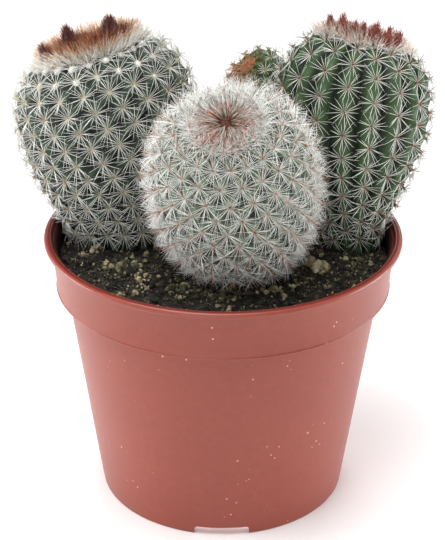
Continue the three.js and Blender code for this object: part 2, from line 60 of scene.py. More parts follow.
SOIL_Z, SOIL_EDGE_DROP = 87.0, 2.6
SOIL_WALL_R = COLLAR_TOP_R - WALL - 0.9  # the soil's edge

RIB_FADE_Z = 8.0  # the relief fades out over this height, down to the soil
RIB_FULL_AT = 0.6  # and over the crown, where a body is slimmer than this share of its head
POT_CLEAR, OVERHANG = 1.3, 0.8  # how a body lies against the pot's wall and spreads over its lip

# foot, bend and crown are the centre line's three points. head_at is how far up it a body is widest,
# club_power how long it stays slim above its foot and dome_power how square its shoulder is. Areoles
# stand on ribs, or on tubercles, step apart; drift is how many ribs the pattern turns in one step, and
# notch how deep a rib dips between two areoles. radials and centrals are the spines of one areole:
# (count, length, thickness). There are none within bare_r of the crown's middle.
PLANTS = {
    "left": dict(
        foot=(-34.2, 12.8, 76), bend=(-34.9, 22.8, 112), crown=(-45.4, 26.5, 150),
        foot_r=14.2, head_r=30.5, head_at=0.66, club_power=1.24, dome_power=2.8,
        tubercled=True, ribs=42, rib_depth=2.3, step=13.0, drift=-0.84,
        radials=(22, 6.5, 0.2), centrals=(2, 2.4, 0.2), bare_r=14.5, seed=11),
    "front": dict(
        foot=(4.5, -5.5, 76), bend=(5.2, -12.3, 111), crown=(0.6, -29.5, 145.2),
        foot_r=11, head_r=25.9, head_at=0.6, club_power=1.35, dome_power=2.6,
        tubercled=True, ribs=40, rib_depth=1.8, step=11.8, drift=-0.4,
        radials=(30, 6.9, 0.155), centrals=(4, 6.0, 0.17), bare_r=3.0, seed=23),
    "right": dict(
        foot=(44.5, 8, 76), bend=(39.7, 19.2, 121), crown=(46.6, 26.2, 153),
        foot_r=9, head_r=26.1, head_at=0.64, club_power=1.6, dome_power=2.8,
        tubercled=False, ribs=18, rib_depth=3.0, step=6.8, drift=0.0, notch=0.7,
        radials=(17, 6.3, 0.21), centrals=(3, 3.2, 0.24), bare_r=12.0, seed=37),
    "back": dict(
        foot=(19.5, 44.5, 76), bend=(17.3, 48, 126.7), crown=(7.9, 43.7, 136.3),
        foot_r=6, head_r=11.9, head_at=0.78, club_power=2.0, dome_power=2.5,
        tubercled=True, ribs=20, rib_depth=1.3, step=9.6, drift=-0.4,
        radials=(14, 3.8, 0.21), centrals=(2, 3.8, 0.22), bare_r=2.5, seed=41),
}


# ---- Meshes ----

def add_object(name, data):
    obj = bpy.data.objects.new(name, data)
    bpy.context.scene.collection.objects.link(obj)
    return obj


def make_object(name, points_mm, faces, mat, smooth=True, attributes=None):
    """A mesh object from points in millimetres, riding on the one body."""
    mesh = bpy.data.meshes.new(name)
    mesh.from_pydata((np.asarray(points_mm, float) * MM).tolist(), [], faces)
    for key, values in (attributes or {}).items():
        layer = mesh.attributes.new(key, "FLOAT", "POINT")
        layer.data.foreach_set("value", np.asarray(values, np.float32))
    mesh.materials.append(mat)
    mesh.polygons.foreach_set("use_smooth", [smooth] * len(mesh.polygons))
    obj = add_object(name, mesh)
    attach(obj, "root")
    return obj


def tube_faces(rows, around, start_tip, end_tip, first=0):
    """Quads between rings of points that close on themselves, and a fan to a tip at each end."""
    faces = []
    for row in range(rows - 1):
        low = first + row * around
        for i in range(around):
            j = (i + 1) % around
            faces.append((low + i, low + j, low + around + j, low + around + i))
    last = first + (rows - 1) * around
    for i in range(around):
        j = (i + 1) % around
        faces += [(start_tip, first + j, first + i), (end_tip, last + i, last + j)]
    return faces


def revolve(profile, sides):
    """Points and faces of a closed lathe round Z; the profile starts and ends on the axis."""
    angles = np.linspace(0, 2 * math.pi, sides, endpoint=False)
    middle = np.array(profile[1:-1], float)
    rings = np.stack([
        middle[:, :1] * np.cos(angles), middle[:, :1] * np.sin(angles),
        np.repeat(middle[:, 1:], sides, axis=1)], axis=-1).reshape(-1, 3)
    points = np.vstack([rings, [[0, 0, profile[0][1]], [0, 0, profile[-1][1]]]])
    return points, tube_faces(len(middle), sides, len(rings), len(rings) + 1)


def unit(v):
    return v / np.maximum(np.linalg.norm(v, axis=-1, keepdims=True), 1e-9)


def turned(first, second, angle):
    """Directions at an angle from the first towards the second."""
    return first * np.cos(angle)[..., None] + second * np.sin(angle)[..., None]


def spines_object(name, roots, directions, lengths, thickness, mat, rng, droop=None, bend=0.12,
                  pick=None):
    """Tapered three-sided spines in one mesh. droop is the way each one curves, bend by how much, and
    pick the tone of each, from 0 to 1."""
    count = len(roots)
    shares = np.array([0.0, 0.45, 0.8])
    widths = np.array([1.0, 0.78, 0.45])
    helper = np.where(np.abs(directions[:, 2:]) < 0.9, [[0.0, 0, 1]], [[1.0, 0, 0]])
    side = unit(np.cross(directions, helper))
    other = np.cross(directions, side)
    droop = np.zeros_like(roots) if droop is None else droop
    turn = rng.uniform(0, 2 * math.pi, count)
    lengths = np.asarray(lengths, float).reshape(-1, 1)

    def spine_line(u):
        return roots + directions * (lengths * u) + droop * (lengths * bend * u * u)

    blocks = []
    for u, width in zip(shares, widths):
        for corner in range(3):
            offset = turned(side, other, turn + corner * 2 * math.pi / 3)
            blocks.append(spine_line(u) + offset * thickness * width / 2)
    blocks.append(spine_line(1.0))
    points = np.stack(blocks, axis=1).reshape(-1, 3)
    one = [(2, 1, 0)]
    for ring in range(2):
        for i in range(3):
            j = (i + 1) % 3
            one.append((ring * 3 + i, ring * 3 + j, ring * 3 + 3 + j, ring * 3 + 3 + i))
    one += [(6, 7, 9), (7, 8, 9), (8, 6, 9)]
    faces = [tuple(k * 10 + v for v in face) for k in range(count) for face in one]
    along = np.tile(np.append(np.repeat(shares, 3), 1.0), count)
    pick = np.repeat(rng.uniform(0, 1, count) if pick is None else pick, 10)
    return make_object(name, points, faces, mat, True, {"along": along, "pick": pick})


def icosphere(subdivisions):
    bm = bmesh.new()
    bmesh.ops.create_icosphere(bm, subdivisions=subdivisions, radius=1.0)
    points = np.array([v.co[:] for v in bm.verts])
    faces = [tuple(v.index for v in f.verts) for f in bm.faces]
    bm.free()
    return points, faces


def lumps_object(name, places, axes, sizes, subdivisions, mat, rng, rough=0.25, smooth=False,
                 pick=None):
    """Irregular lumps in one mesh: places, three axes for each and three radii for each."""
    base, base_faces = icosphere(subdivisions)
    count = len(places)
    jitter = 1 + rough * rng.normal(0, 1, (count, len(base), 1)).clip(-1.5, 1.5)
    local = base[None] * jitter * sizes[:, None, :]
    points = np.einsum("nvk,nkd->nvd", local, axes) + places[:, None, :]
    faces = [tuple(k * len(base) + v for v in face) for k in range(count) for face in base_faces]
    pick = np.repeat(rng.uniform(0, 1, count) if pick is None else pick, len(base))
    return make_object(name, points.reshape(-1, 3), faces, mat, smooth, {"pick": pick})


# ---- Plant geometry ----

def axis_frame(plant, t):
    """Centre line at shares t: centre, and the directions along and across it."""
    t = np.asarray(t, float)[..., None]
    foot, bend, crown = (np.array(plant[k], float) for k in ("foot", "bend", "crown"))
    centre = (1 - t) ** 2 * foot + 2 * t * (1 - t) * bend + t * t * crown
    along = unit(2 * (1 - t) * (bend - foot) + 2 * t * (crown - bend))
    across = unit(np.array([1.0, 0, 0]) - along * along[..., :1])
    return centre, along, across, np.cross(along, across)


def club_radius(plant, t):
    t = np.asarray(t, float)
    grown = np.sin(np.pi / 2 * np.clip(t / plant["head_at"], 0, 1)) ** plant["club_power"]
    low = plant["foot_r"] + (plant["head_r"] - plant["foot_r"]) * grown
    share = np.clip((t - plant["head_at"]) / (1 - plant["head_at"]), 0, 1)
    power = plant["dome_power"]
    dome = plant["head_r"] * np.clip(1 - share ** power, 0, 1) ** (1 / power)
    return np.where(t < plant["head_at"], low, dome)


def relief_at(plant, rib, steps):
    """1 on a rib's crest or a tubercle's middle, 0 in a groove."""
    if plant["tubercled"]:
        return 0.5 + 0.5 * np.cos(np.pi * rib) * np.cos(2 * np.pi * steps)
    return np.abs(np.cos(np.pi * rib))


def keep_off_pot(points):
    """Pulls points in from the pot's wall, and lets them spread again over the lip."""
    z = points[..., 2]
    wall = np.interp(z, [STEP_Z, STEP_Z + WALL, POT_H - LIP_H * 0.6],
                     [BODY_TOP_R - WALL, COLLAR_LOW_R - WALL, COLLAR_TOP_R - WALL])
    limit = wall - POT_CLEAR + OVERHANG * np.maximum(0, z - POT_H)
    share = np.minimum(1, limit / np.maximum(np.hypot(points[..., 0], points[..., 1]), 1e-6))
    return points * np.stack([share, share, np.ones_like(share)], axis=-1)


def rib_angle(plant, rib, steps):
    return (rib + plant["drift"] * steps) * 2 * np.pi / plant["ribs"]


def surface(plant, t, rib, steps):
    """Points of the surface on ribs, which may be fractions, at areole steps down from the crown."""
    centre, _, across, other = axis_frame(plant, t)
    radius = club_radius(plant, t)
    fade = np.clip((centre[..., 2] - SOIL_Z) / RIB_FADE_Z, 0, 1)
    fade = fade * fade * (3 - 2 * fade) * np.minimum(1, radius / (plant["head_r"] * RIB_FULL_AT))
    relief = relief_at(plant, rib, steps)
    radius = radius - plant["rib_depth"] * fade * (1 - relief)
    if not plant["tubercled"]:
        odd = np.abs(np.sin(np.pi * rib / 2)) > math.sqrt(0.5)  # the nearest rib is an odd one
        dip = 0.5 - 0.5 * np.cos(2 * np.pi * (steps + np.where(odd, 0.5, 0.0)))
        radius = radius - plant["notch"] * fade * dip * relief ** 2
    angle = rib_angle(plant, rib, steps)
    ahead, aside = radius * np.cos(angle), radius * np.sin(angle)
    return keep_off_pot(centre + across * ahead[..., None] + other * aside[..., None])


def walk_table(plant):
    """Distances walked down the plain club from the crown, and the centre line's share at each."""
    t = np.linspace(1, 0, 1501)
    centre, _, across, _ = axis_frame(plant, t)
    points = centre + across * club_radius(plant, t)[:, None]
    walked = np.concatenate([[0], np.cumsum(np.linalg.norm(np.diff(points, axis=0), axis=1))])
    return walked, t


SHARE_UP = 0.004  # of the centre line, to find which way the surface rises
LOWEST_AREOLE = 1.0  # above the soil


def areoles(plant):
    """Where spines grow: points, outward, up and side directions, and the distance walked down."""
    walked, shares = walk_table(plant)
    halves = int(walked[-1] / (plant["step"] / 2))
    ribs, rows = np.array([(rib, row) for rib in range(plant["ribs"])
                           for row in range(2 + rib % 2, halves + 1, 2)], float).T
    steps = rows / 2
    t = np.interp(steps * plant["step"], walked, shares)
    point = surface(plant, t, ribs, steps)
    up = unit(surface(plant, np.minimum(1, t + SHARE_UP), ribs, steps) - point)
    _, along, across, other = axis_frame(plant, t)
    side = turned(other, -across, rib_angle(plant, ribs, steps))
    outward = unit(np.cross(side, up))
    from_crown = point - np.array(plant["crown"], float)
    crown_r = np.linalg.norm(from_crown - along * (from_crown * along).sum(1, keepdims=True), axis=1)
    bare = (crown_r <= plant["bare_r"]) & (t > plant["head_at"])
    keep = (point[:, 2] > SOIL_Z + LOWEST_AREOLE) & ~bare
    spots = dict(point=point, outward=outward, up=up, side=side, walked=steps * plant["step"])
    return {key: values[keep] for key, values in spots.items()}


def body_cloud(plant):
    """Points all over a plant, to tell which plant a spine's tip is nearest to."""
    first, apart = 0.5, 2.0  # walked down from the crown to the first ring of points, and on to each next
    walked, shares = walk_table(plant)
    rows = np.arange(first, walked[-1], apart)
    half_ribs = np.arange(0, plant["ribs"], 0.5)
    tt, rr = np.meshgrid(np.interp(rows, walked, shares), half_ribs, indexing="ij")
    return surface(plant, tt, rr, rows[:, None] / plant["step"]).reshape(-1, 3)


CLOUDS = {key: body_cloud(plant) for key, plant in PLANTS.items()}


def distance_to(key, points):
    cloud = CLOUDS[key]
    out = np.empty(len(points))
    at_once = 400
    for start in range(0, len(points), at_once):
        part = points[start:start + at_once]
        out[start:start + at_once] = np.sqrt(((part[:, None] - cloud[None]) ** 2).sum(2).min(1))
    return out


WALL_MARGIN, SOIL_MARGIN = 1.0, 0.2  # how far tips stay off the pot's wall and off the soil
OWN_SIDE = 0.75  # tips stay nearer to their own plant than to another, by this factor
NEAR = 6.0  # tips further than this from another plant's box are clear of it


def clear_tips(key, points):
    """True for points of this plant's spines that are clear of pot, soil and the other plants."""
    from_axis = np.hypot(points[:, 0], points[:, 1])
    ok = ~((points[:, 2] < POT_H + 0.4) & (from_axis > COLLAR_TOP_R - WALL - WALL_MARGIN))
    ok &= points[:, 2] > soil_height(points[:, 0], points[:, 1]) + SOIL_MARGIN
    for other, cloud in CLOUDS.items():
        if other == key:
            continue
        near = ok & (points > cloud.min(0) - NEAR).all(1) & (points < cloud.max(0) + NEAR).all(1)
        if near.any():
            own = distance_to(key, points[near])
            ok[near] &= distance_to(other, points[near]) > own * OWN_SIDE + SOIL_MARGIN
    return ok


def fit_lengths(key, roots, directions, lengths):
    """Shortens spines until their tips are clear, and gives 0 where that can't be done."""
    lengths = np.array(lengths, float)
    for share in (0.72, 0.5, 0.0):
        bad = ~clear_tips(key, roots + directions * lengths[:, None])
        bad &= lengths > 0
        if not bad.any():
            break
        lengths[bad] *= share
    return lengths


def grow_spines(key, name, roots, directions, lengths, shortest, thick, mat, rng, droop, bend,
                pick=None):
    """A plant's spines, shortened until they are clear, without those shorter than the shortest."""
    lengths = fit_lengths(key, roots, directions, lengths)
    ok = lengths > shortest
    spines_object(name, roots[ok], directions[ok], lengths[ok], thick, mat, rng, droop[ok], bend,
                  pick if pick is None else pick[ok])


# ---- Materials ----

def linear(colour):
    """Linear RGBA of an sRGB colour from 0 to 255, or of a number that is a linear grey."""
    if not isinstance(colour, tuple):
        return (colour, colour, colour, 1.0)
    rgb = [c / 255 / 12.92 if c <= 10 else ((c / 255 + 0.055) / 1.055) ** 2.4 for c in colour]
    return (*rgb, 1.0)


class Material:
    """A node material with short calls for the nodes that are used here."""

    def __init__(self, name, roughness=0.6, **sockets):
        self.data = bpy.data.materials.new(name)
        self.data.use_nodes = True
        self.tree = self.data.node_tree
        self.shader = next(n for n in self.tree.nodes if n.type == "BSDF_PRINCIPLED")
        self.shader.inputs["Roughness"].default_value = roughness
        for key, value in sockets.items():
            self.shader.inputs[key.replace("_", " ")].default_value = value
        self.place = self.node("TexCoord").outputs["Object"]

    def node(self, kind, sockets=None, **settings):
        """A node with its settings, and its sockets either linked to an output or set to a value."""
        made = self.tree.nodes.new("ShaderNode" + kind)
        for key, value in settings.items():
            setattr(made, key, value)
        for key, value in (sockets or {}).items():
            if hasattr(value, "is_output"):
                self.link(value, made.inputs[key])
            else:
                made.inputs[key].default_value = value
        return made

    def link(self, source, target):
        self.tree.links.new(source, target)

    def noise(self, scale, detail=3.0, roughness=0.55):
        sockets = dict(Scale=scale, Detail=detail, Roughness=roughness, Vector=self.place)
        return self.node("TexNoise", sockets).outputs["Fac"]

    def attribute(self, name):
        return self.node("Attribute", attribute_name=name).outputs["Fac"]

    def ramp(self, source, *stops):
        made = self.node("ValToRGB", dict(Fac=source))
        elements = made.color_ramp.elements
        while len(elements) < len(stops):
            elements.new(0.5)
        for element, (position, colour) in zip(elements, stops):
            element.position = position
            element.color = linear(colour)
        return made.outputs["Color"]

    def times(self, first, second):
        return self.mix(1.0, first, second, "MULTIPLY")

    def mix(self, factor, first, second, blend="MIX"):
        sockets = {0: factor, 6: first, 7: second}
        return self.node("Mix", sockets, data_type="RGBA", blend_type=blend).outputs[2]

    def math(self, operation, first, second=0.0):
        return self.node("Math", {0: first, 1: second}, operation=operation).outputs[0]

    def both(self, first, second):
        return self.math("MULTIPLY", first, second)

    def within(self, value, limit_mm):
        return self.math("LESS_THAN", value, limit_mm * MM)

    def over(self, value, limit_mm):
        return self.math("GREATER_THAN", value, limit_mm * MM)

    def colour(self, source):
        self.link(source, self.shader.inputs["Base Color"])

    def roughness(self, source, low, high):
        made = self.node("MapRange", {"Value": source, "To Min": low, "To Max": high})
        self.link(made.outputs["Result"], self.shader.inputs["Roughness"])

    def bump(self, source, distance_mm, strength=1.0):
        made = self.node("Bump", dict(Height=source, Distance=distance_mm * MM, Strength=strength))
        self.link(made.outputs["Normal"], self.shader.inputs["Normal"])


# painted shade in the groove between the lip's two beads
LIP_GROOVE_SHADE_IN, LIP_GROOVE_SHADE_HALF_W = 1.35, 0.75  # the lip's dark line: how far in from its edge, half its width
THROAT_IN = 2.3  # the lip's inner side starts this far in from its edge


def pot_masks(mat):
    """Three masks for the pot's painted shade: 1 on the collar's inner face, the height up that face from
    0 to 1, and 1 on the lip's dark line, painted shade in the groove between its two beads."""
    parts = mat.node("SeparateXYZ", dict(Vector=mat.place))
    x, y, z = (parts.outputs[axis] for axis in "XYZ")
    radius = mat.math("SQRT", mat.math("ADD", mat.both(x, x), mat.both(y, y)))
    slope = (COLLAR_TOP_R - COLLAR_LOW_R) / COLLAR_H
    upright = mat.math("SUBTRACT", radius, mat.both(z, slope))
    middle = COLLAR_LOW_R - WALL / 2 - STEP_Z * slope
    inner = mat.both(mat.within(upright, middle), mat.over(z, STEP_Z + 0.5))
    throat = mat.both(mat.within(radius, LIP_R - THROAT_IN), mat.over(z, POT_H - LIP_H * 0.6))
    height = mat.math("DIVIDE", mat.math("SUBTRACT", z, STEP_Z * MM), COLLAR_H * MM)
    # painted shade along the groove between the lip's two beads
    off_groove_shade = mat.math("ABSOLUTE", mat.math("SUBTRACT", radius, (LIP_R - LIP_GROOVE_SHADE_IN) * MM))
    line = mat.both(mat.within(off_groove_shade, LIP_GROOVE_SHADE_HALF_W), mat.over(z, POT_H - 1.0))
    return mat.math("MAXIMUM", inner, throat), height, line


def pot_material():
    """Satin red-brown plastic, a little cloudy, with dried splashes thinly spread, painted shade inside
    the collar that is darkest low down by the soil, and painted shade in the groove along the lip."""
    mat = Material("pot_plastic_look", roughness=0.38)
    fine = mat.noise(420, 3)
    base = mat.ramp(mat.noise(28, 4), (0.3, (133, 56, 41)), (0.7, (141, 62, 46)))
    base = mat.mix(0.25, base, mat.ramp(fine, (0.35, (125, 51, 37)), (0.7, (151, 72, 55))))
    specks = mat.node("TexVoronoi", dict(Scale=340, Randomness=1.0, Vector=mat.place), feature="F1")
    small = mat.ramp(specks.outputs["Distance"], (0.07, 1), (0.13, 0))
    where = mat.ramp(mat.noise(55, 2), (0.57, 0), (0.66, 1))
    base = mat.mix(mat.times(small, where), base, linear((226, 176, 156)))
    inside, height, line = pot_masks(mat)
    # painted shade on the collar's inner face and the lip's inner side, darkest low down by the soil
    painted_shade = mat.ramp(height, (0.5, (16, 10, 9)), (0.9, (60, 24, 22)))
    base = mat.mix(inside, base, painted_shade)
    # the lip's groove gets painted shade, dark red
    mat.colour(mat.mix(line, base, linear((116, 34, 22))))
    mat.roughness(fine, 0.32, 0.46)
    mat.bump(fine, 0.05, 0.5)
    return mat.data


def soil_material():
    mat = Material("soil_look", roughness=0.95)
    mat.colour(mat.ramp(mat.noise(420, 6, 0.7), (0.42, (9, 7, 5)), (0.56, (34, 30, 21)),
                        (0.72, (90, 82, 59))))
    mat.bump(mat.noise(900, 5, 0.7), 0.6)
    return mat.data


def grit_material(name, *stops):
    mat = Material(name, roughness=0.9)
    tone = mat.ramp(mat.attribute("pick"), *stops)
    shade = mat.ramp(mat.noise(900, 3), (0.3, 0.5), (0.7, 1.0))
    mat.colour(mat.times(tone, shade))
    mat.bump(mat.noise(1500, 3), 0.15)
    return mat.data


def skin_material(name, crest, slope, groove):
    """Green skin, mottled and with the finest pale dots, and painted shade that darkens it into its
    grooves.
    """
    mat = Material(name, roughness=0.55, Specular_IOR_Level=0.25)
    # painted shade: the crest, slope and groove colours darken the skin down into the grooves
    tone = mat.ramp(mat.attribute("groove"), (0.05, crest), (0.45, slope), (0.9, groove))
    mottle = mat.ramp(mat.noise(220, 5, 0.65), (0.3, 0.68), (0.7, 1.1))
    tone = mat.times(tone, mottle)
    waxy = mat.ramp(mat.noise(1400, 2), (0.6, 0), (0.74, 0.16))
    mat.colour(mat.mix(waxy, tone, linear((186, 200, 178))))
    mat.bump(mat.noise(900, 4), 0.12)
    return mat.data


def spine_material(name, root, middle, tip, spread=0.2):
    """A spine's colour along its length. spread is how much darker the darkest spines are."""
    mat = Material(name, roughness=0.42)
    tone = mat.ramp(mat.attribute("along"), (0.08, root), (0.5, middle), (0.92, tip))
    each = mat.ramp(mat.attribute("pick"), (0.0, 1 - spread), (1.0, 1.0))
    mat.colour(mat.times(tone, each))
    return mat.data


def wool_material(name, *stops):
    mat = Material(name, roughness=0.95, Sheen_Weight=0.2)
    tone = mat.ramp(mat.attribute("pick"), *stops)
    fleck = mat.ramp(mat.noise(2600, 3), (0.35, 0.6), (0.65, 1.0))
    mat.colour(mat.times(tone, fleck))
    mat.bump(mat.noise(2600, 3), 0.25)
    return mat.data


# ---- Pot ----

SHARP_DEG = 35  # edges of the pot that turn by more than this stay sharp


def arc(centre_r, centre_z, radius, start, end, count):
    """Points of a round corner in the profile, angles in degrees."""
    turns = [math.radians(angle) for angle in np.linspace(start, end, count)]
    return [(centre_r + radius * math.cos(a), centre_z + radius * math.sin(a)) for a in turns]


def pot_profile():
    """Radius and height round the pot's wall: under the floor, up the outside and down the inside."""
    foot_inner = BODY_LOW_R - FOOT_RING_W
    under_lip = POT_H - LIP_H
    bead = LIP_H / 2
    inner_top = COLLAR_TOP_R - WALL
    return [
        (0, FLOOR_Z), (foot_inner - 1.0, FLOOR_Z), *arc(foot_inner - 1, FLOOR_Z - 1, 1, 90, 0, 4),
        (foot_inner, 0.4), (foot_inner + 0.3, 0),
        (BODY_LOW_R - 0.6, 0), *arc(BODY_LOW_R - 0.6, 0.6, 0.6, -90, 0, 5),
        (BODY_LOW_R + 0.45, 3.5), (BODY_LOW_R + (BODY_TOP_R - BODY_LOW_R) * 0.5, STEP_Z * 0.5),
        (BODY_TOP_R - 0.05, STEP_Z - 1.6), *arc(BODY_TOP_R + 0.75, STEP_Z - 1.3, 0.8, 180, 90, 5),
        (COLLAR_LOW_R - 0.3, STEP_Z - 0.3), *arc(COLLAR_LOW_R, STEP_Z + 0.15, 0.4, -90, 60, 6),
        (COLLAR_LOW_R + 0.12, STEP_Z + 1.0),
        (COLLAR_TOP_R - 0.1, under_lip - 1.0), (COLLAR_TOP_R + 0.3, under_lip - 0.1),
        *arc(LIP_R - bead, under_lip + bead, bead, -90, 115, 12),
        (LIP_R - 1.5, POT_H - 0.45), (LIP_R - 1.7, POT_H - 0.45),
        (LIP_R - 1.9, POT_H - 0.1), (LIP_R - 2.15, POT_H - 0.05), (LIP_R - 2.4, POT_H - 0.4),
        (inner_top, POT_H - LIP_H * 0.6 - 1.0),
        (COLLAR_LOW_R - WALL, STEP_Z + WALL + 0.4), (BODY_TOP_R - WALL, STEP_Z),
        (BODY_LOW_R - WALL + 0.5, FLOOR_Z + FLOOR_T), (0, FLOOR_Z + FLOOR_T),
    ]


def notch_cutter(index):
    """A block with rounded upper corners, through the foot ring."""
    half, corner = NOTCH_W / 2, 1.2
    rounded = arc(half - corner, NOTCH_H - corner, corner, 0, 90, 6)
    outline = [(half, -1.0), *rounded, *[(-x, z) for x, z in reversed(rounded)], (-half, -1.0)]
    near, far = -(BODY_LOW_R - FOOT_RING_W - 3), -(BODY_LOW_R + 5)
    points = [(x, y, z) for y in (near, far) for x, z in outline]
    count = len(outline)
    faces = [tuple(range(count)), tuple(range(2 * count - 1, count - 1, -1))]
    faces += [(i, i + count, (i + 1) % count + count, (i + 1) % count) for i in range(count)]
    turn = Matrix.Rotation(index * 2 * math.pi / NOTCHES, 3, "Z")
    return [turn @ Vector(p) for p in points], faces


def drain_cutter(index):
    angle = (index + 0.5) * 2 * math.pi / DRAINS
    points, faces = revolve([(0, FLOOR_Z - 1), (DRAIN_R, FLOOR_Z - 1),
                             (DRAIN_R, FLOOR_Z + FLOOR_T + 1), (0, FLOOR_Z + FLOOR_T + 1)], 24)
    return points + [DRAIN_AT_R * math.cos(angle), DRAIN_AT_R * math.sin(angle), 0], faces


def make_cutter():
    """All notches and drain holes as one object."""
    cuts = [notch_cutter(i) for i in range(NOTCHES)] + [drain_cutter(i) for i in range(DRAINS)]
    cut_points, cut_faces = [], []
    for made, faces in cuts:
        first = len(cut_points)
        cut_points += [tuple(p) for p in made]
        cut_faces += [tuple(first + v for v in face) for face in faces]
    mesh = bpy.data.meshes.new("cuts")
    mesh.from_pydata((np.array(cut_points) * MM).tolist(), [], cut_faces)
    bm = bmesh.new()
    bm.from_mesh(mesh)
    bmesh.ops.recalc_face_normals(bm, faces=bm.faces)
    bm.to_mesh(mesh)
    bm.free()
    return add_object("cuts", mesh)


def build_pot():
    points, faces = revolve(pot_profile(), 180)
    pot = make_object("nursery_pot", points, faces, pot_material())
    cutter = make_cutter()
    modifier = pot.modifiers.new("cuts", "BOOLEAN")
    modifier.object, modifier.operation, modifier.solver = cutter, "DIFFERENCE", "EXACT"
    bpy.context.view_layer.update()
    cut = bpy.data.meshes.new_from_object(pot.evaluated_get(bpy.context.evaluated_depsgraph_get()))
    pot.modifiers.clear()
    pot.data = cut
    bpy.data.objects.remove(cutter)
    cut.shade_smooth()
    cut.set_sharp_from_angle(angle=math.radians(SHARP_DEG))
    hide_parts("pot")


# ---- Soil ----

def soil_height(x, y):
    """The low lumpy mound that the solid soil has too."""
    share = np.minimum(1, np.hypot(x, y) / (COLLAR_TOP_R - WALL - 0.4))
    lumps = (0.55 * np.sin(0.31 * x + 1.3) * np.cos(0.27 * y)
             + 0.4 * np.sin(0.62 * x - 0.45 * y + 0.7)
             + 0.35 * np.cos(0.53 * y + 0.21 * x + 2.1))
    return SOIL_Z - SOIL_EDGE_DROP * share ** 4 + lumps


def soil_point(x, y):
    """A point of the fine soil surface, with crumbs of two sizes."""
    coarse = 1.2 * noise.fractal(Vector((x * 0.3, y * 0.3, 3.0)), 0.9, 2.0, 3)
    fine = 0.5 * noise.fractal(Vector((x * 1.1, y * 1.1, 7.0)), 0.7, 2.0, 3)
    return (x, y, float(soil_height(x, y)) + coarse + fine)


def build_soil(rng):
    sides, rings = 300, 100
    angles = np.linspace(0, 2 * math.pi, sides, endpoint=False)
    outer = [(BODY_LOW_R - WALL, FLOOR_Z + FLOOR_T + 0.4), (BODY_TOP_R - WALL - 0.6, STEP_Z + 0.4),
             (COLLAR_LOW_R - WALL - 0.7, STEP_Z + WALL + 0.9)]
    points = [(r * math.cos(a), r * math.sin(a), z) for r, z in outer for a in angles]
    for ring in range(rings):
        radius = SOIL_WALL_R * (1 - ring / rings)
        points += [soil_point(radius * math.cos(a), radius * math.sin(a)) for a in angles]
    points += [(0, 0, outer[0][1]), soil_point(0, 0)]
    faces = tube_faces(len(outer) + rings, sides, len(points) - 2, len(points) - 1)
    bed = make_object("soil_bed", points, faces, soil_material())
    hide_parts("soil")
    build_crumbs(rng)
    build_clumps(rng)
    build_fibres(rng)


def on_open_soil(places):
    """True for places on the soil that no foot covers."""
    ok = np.hypot(places[:, 0], places[:, 1]) < SOIL_WALL_R - 0.6
    for plant in PLANTS.values():
        foot = np.array(plant["foot"][:2])
        ok &= np.linalg.norm(places[:, :2] - foot, axis=1) > plant["foot_r"] + 1
    return ok


def laid_on_soil(flat):
    """Those of the flat places that are on open soil, with its height."""
    flat = flat[on_open_soil(flat)]
    heights = [soil_point(x, y)[2] for x, y in flat]
    return np.column_stack([flat, heights])


def scatter(rng, count):
    return laid_on_soil(rng.uniform(-SOIL_WALL_R, SOIL_WALL_R, (count, 2)))


def random_axes(rng, count):
    first = unit(rng.normal(0, 1, (count, 3)))
    second = unit(np.cross(first, unit(rng.normal(0, 1, (count, 3)))))
    return np.stack([first, second, np.cross(first, second)], axis=1)


def lay_lumps(name, places, low, high, subdivisions, mat, rng):
    """Lumps between two radii, most of them small, half sunk in the soil."""
    count = len(places)
    size = low + (high - low) * rng.uniform(0, 1, (count, 1)) ** 2
    sizes = size * rng.uniform(0.55, 1.1, (count, 3))
    places = places + [[0, 0, 1]] * size * 0.4
    axes = random_axes(rng, count)
    lumps_object(name, places, axes, sizes, subdivisions, mat, rng, 0.24)


def build_crumbs(rng):
    dark = grit_material("crumb_look", (0.0, (9, 7, 5)), (0.5, (30, 26, 18)),
                         (0.78, (88, 78, 54)), (1.0, (182, 168, 130)))
    lay_lumps("soil_crumbs", scatter(rng, 9000), 0.25, 0.8, 1, dark, rng)
    lay_lumps("soil_clods", scatter(rng, 420), 0.7, 1.6, 2, dark, rng)
    white = grit_material("grit_look", (0.0, (178, 168, 138)), (1.0, (236, 232, 216)))
    lay_lumps("grit_small", scatter(rng, 140), 0.2, 0.55, 1, white, rng)


# Where crumbs lie in heaps: the middle of each heap, its spread, how many crumbs and the largest of
# them. The first five are yellowish, and the others are olive.
CLUMPS = (
    ((31, -15), 1.6, 16, 2.3), ((-44, 0), 2.6, 26, 1.5), ((41, 6), 3.2, 26, 1.2),
    ((16, -30), 2.6, 30, 1.2), ((-27, -24), 2.6, 34, 1.1), ((0, -34), 3.4, 60, 1.5),
    ((-12, -30), 3.6, 70, 1.3), ((-33, -12), 4.6, 80, 1.2), ((26, -22), 3.8, 50, 1.1),
    ((44, -8), 3.4, 40, 1.0), ((-20, 44), 4.5, 60, 1.3), ((24, 42), 4.0, 50, 1.3),
    ((-6, 24), 3.5, 40, 1.0), ((2, 48), 3.6, 40, 1.2),
)
YELLOWISH = 5
SMALLEST_CRUMB = 0.35


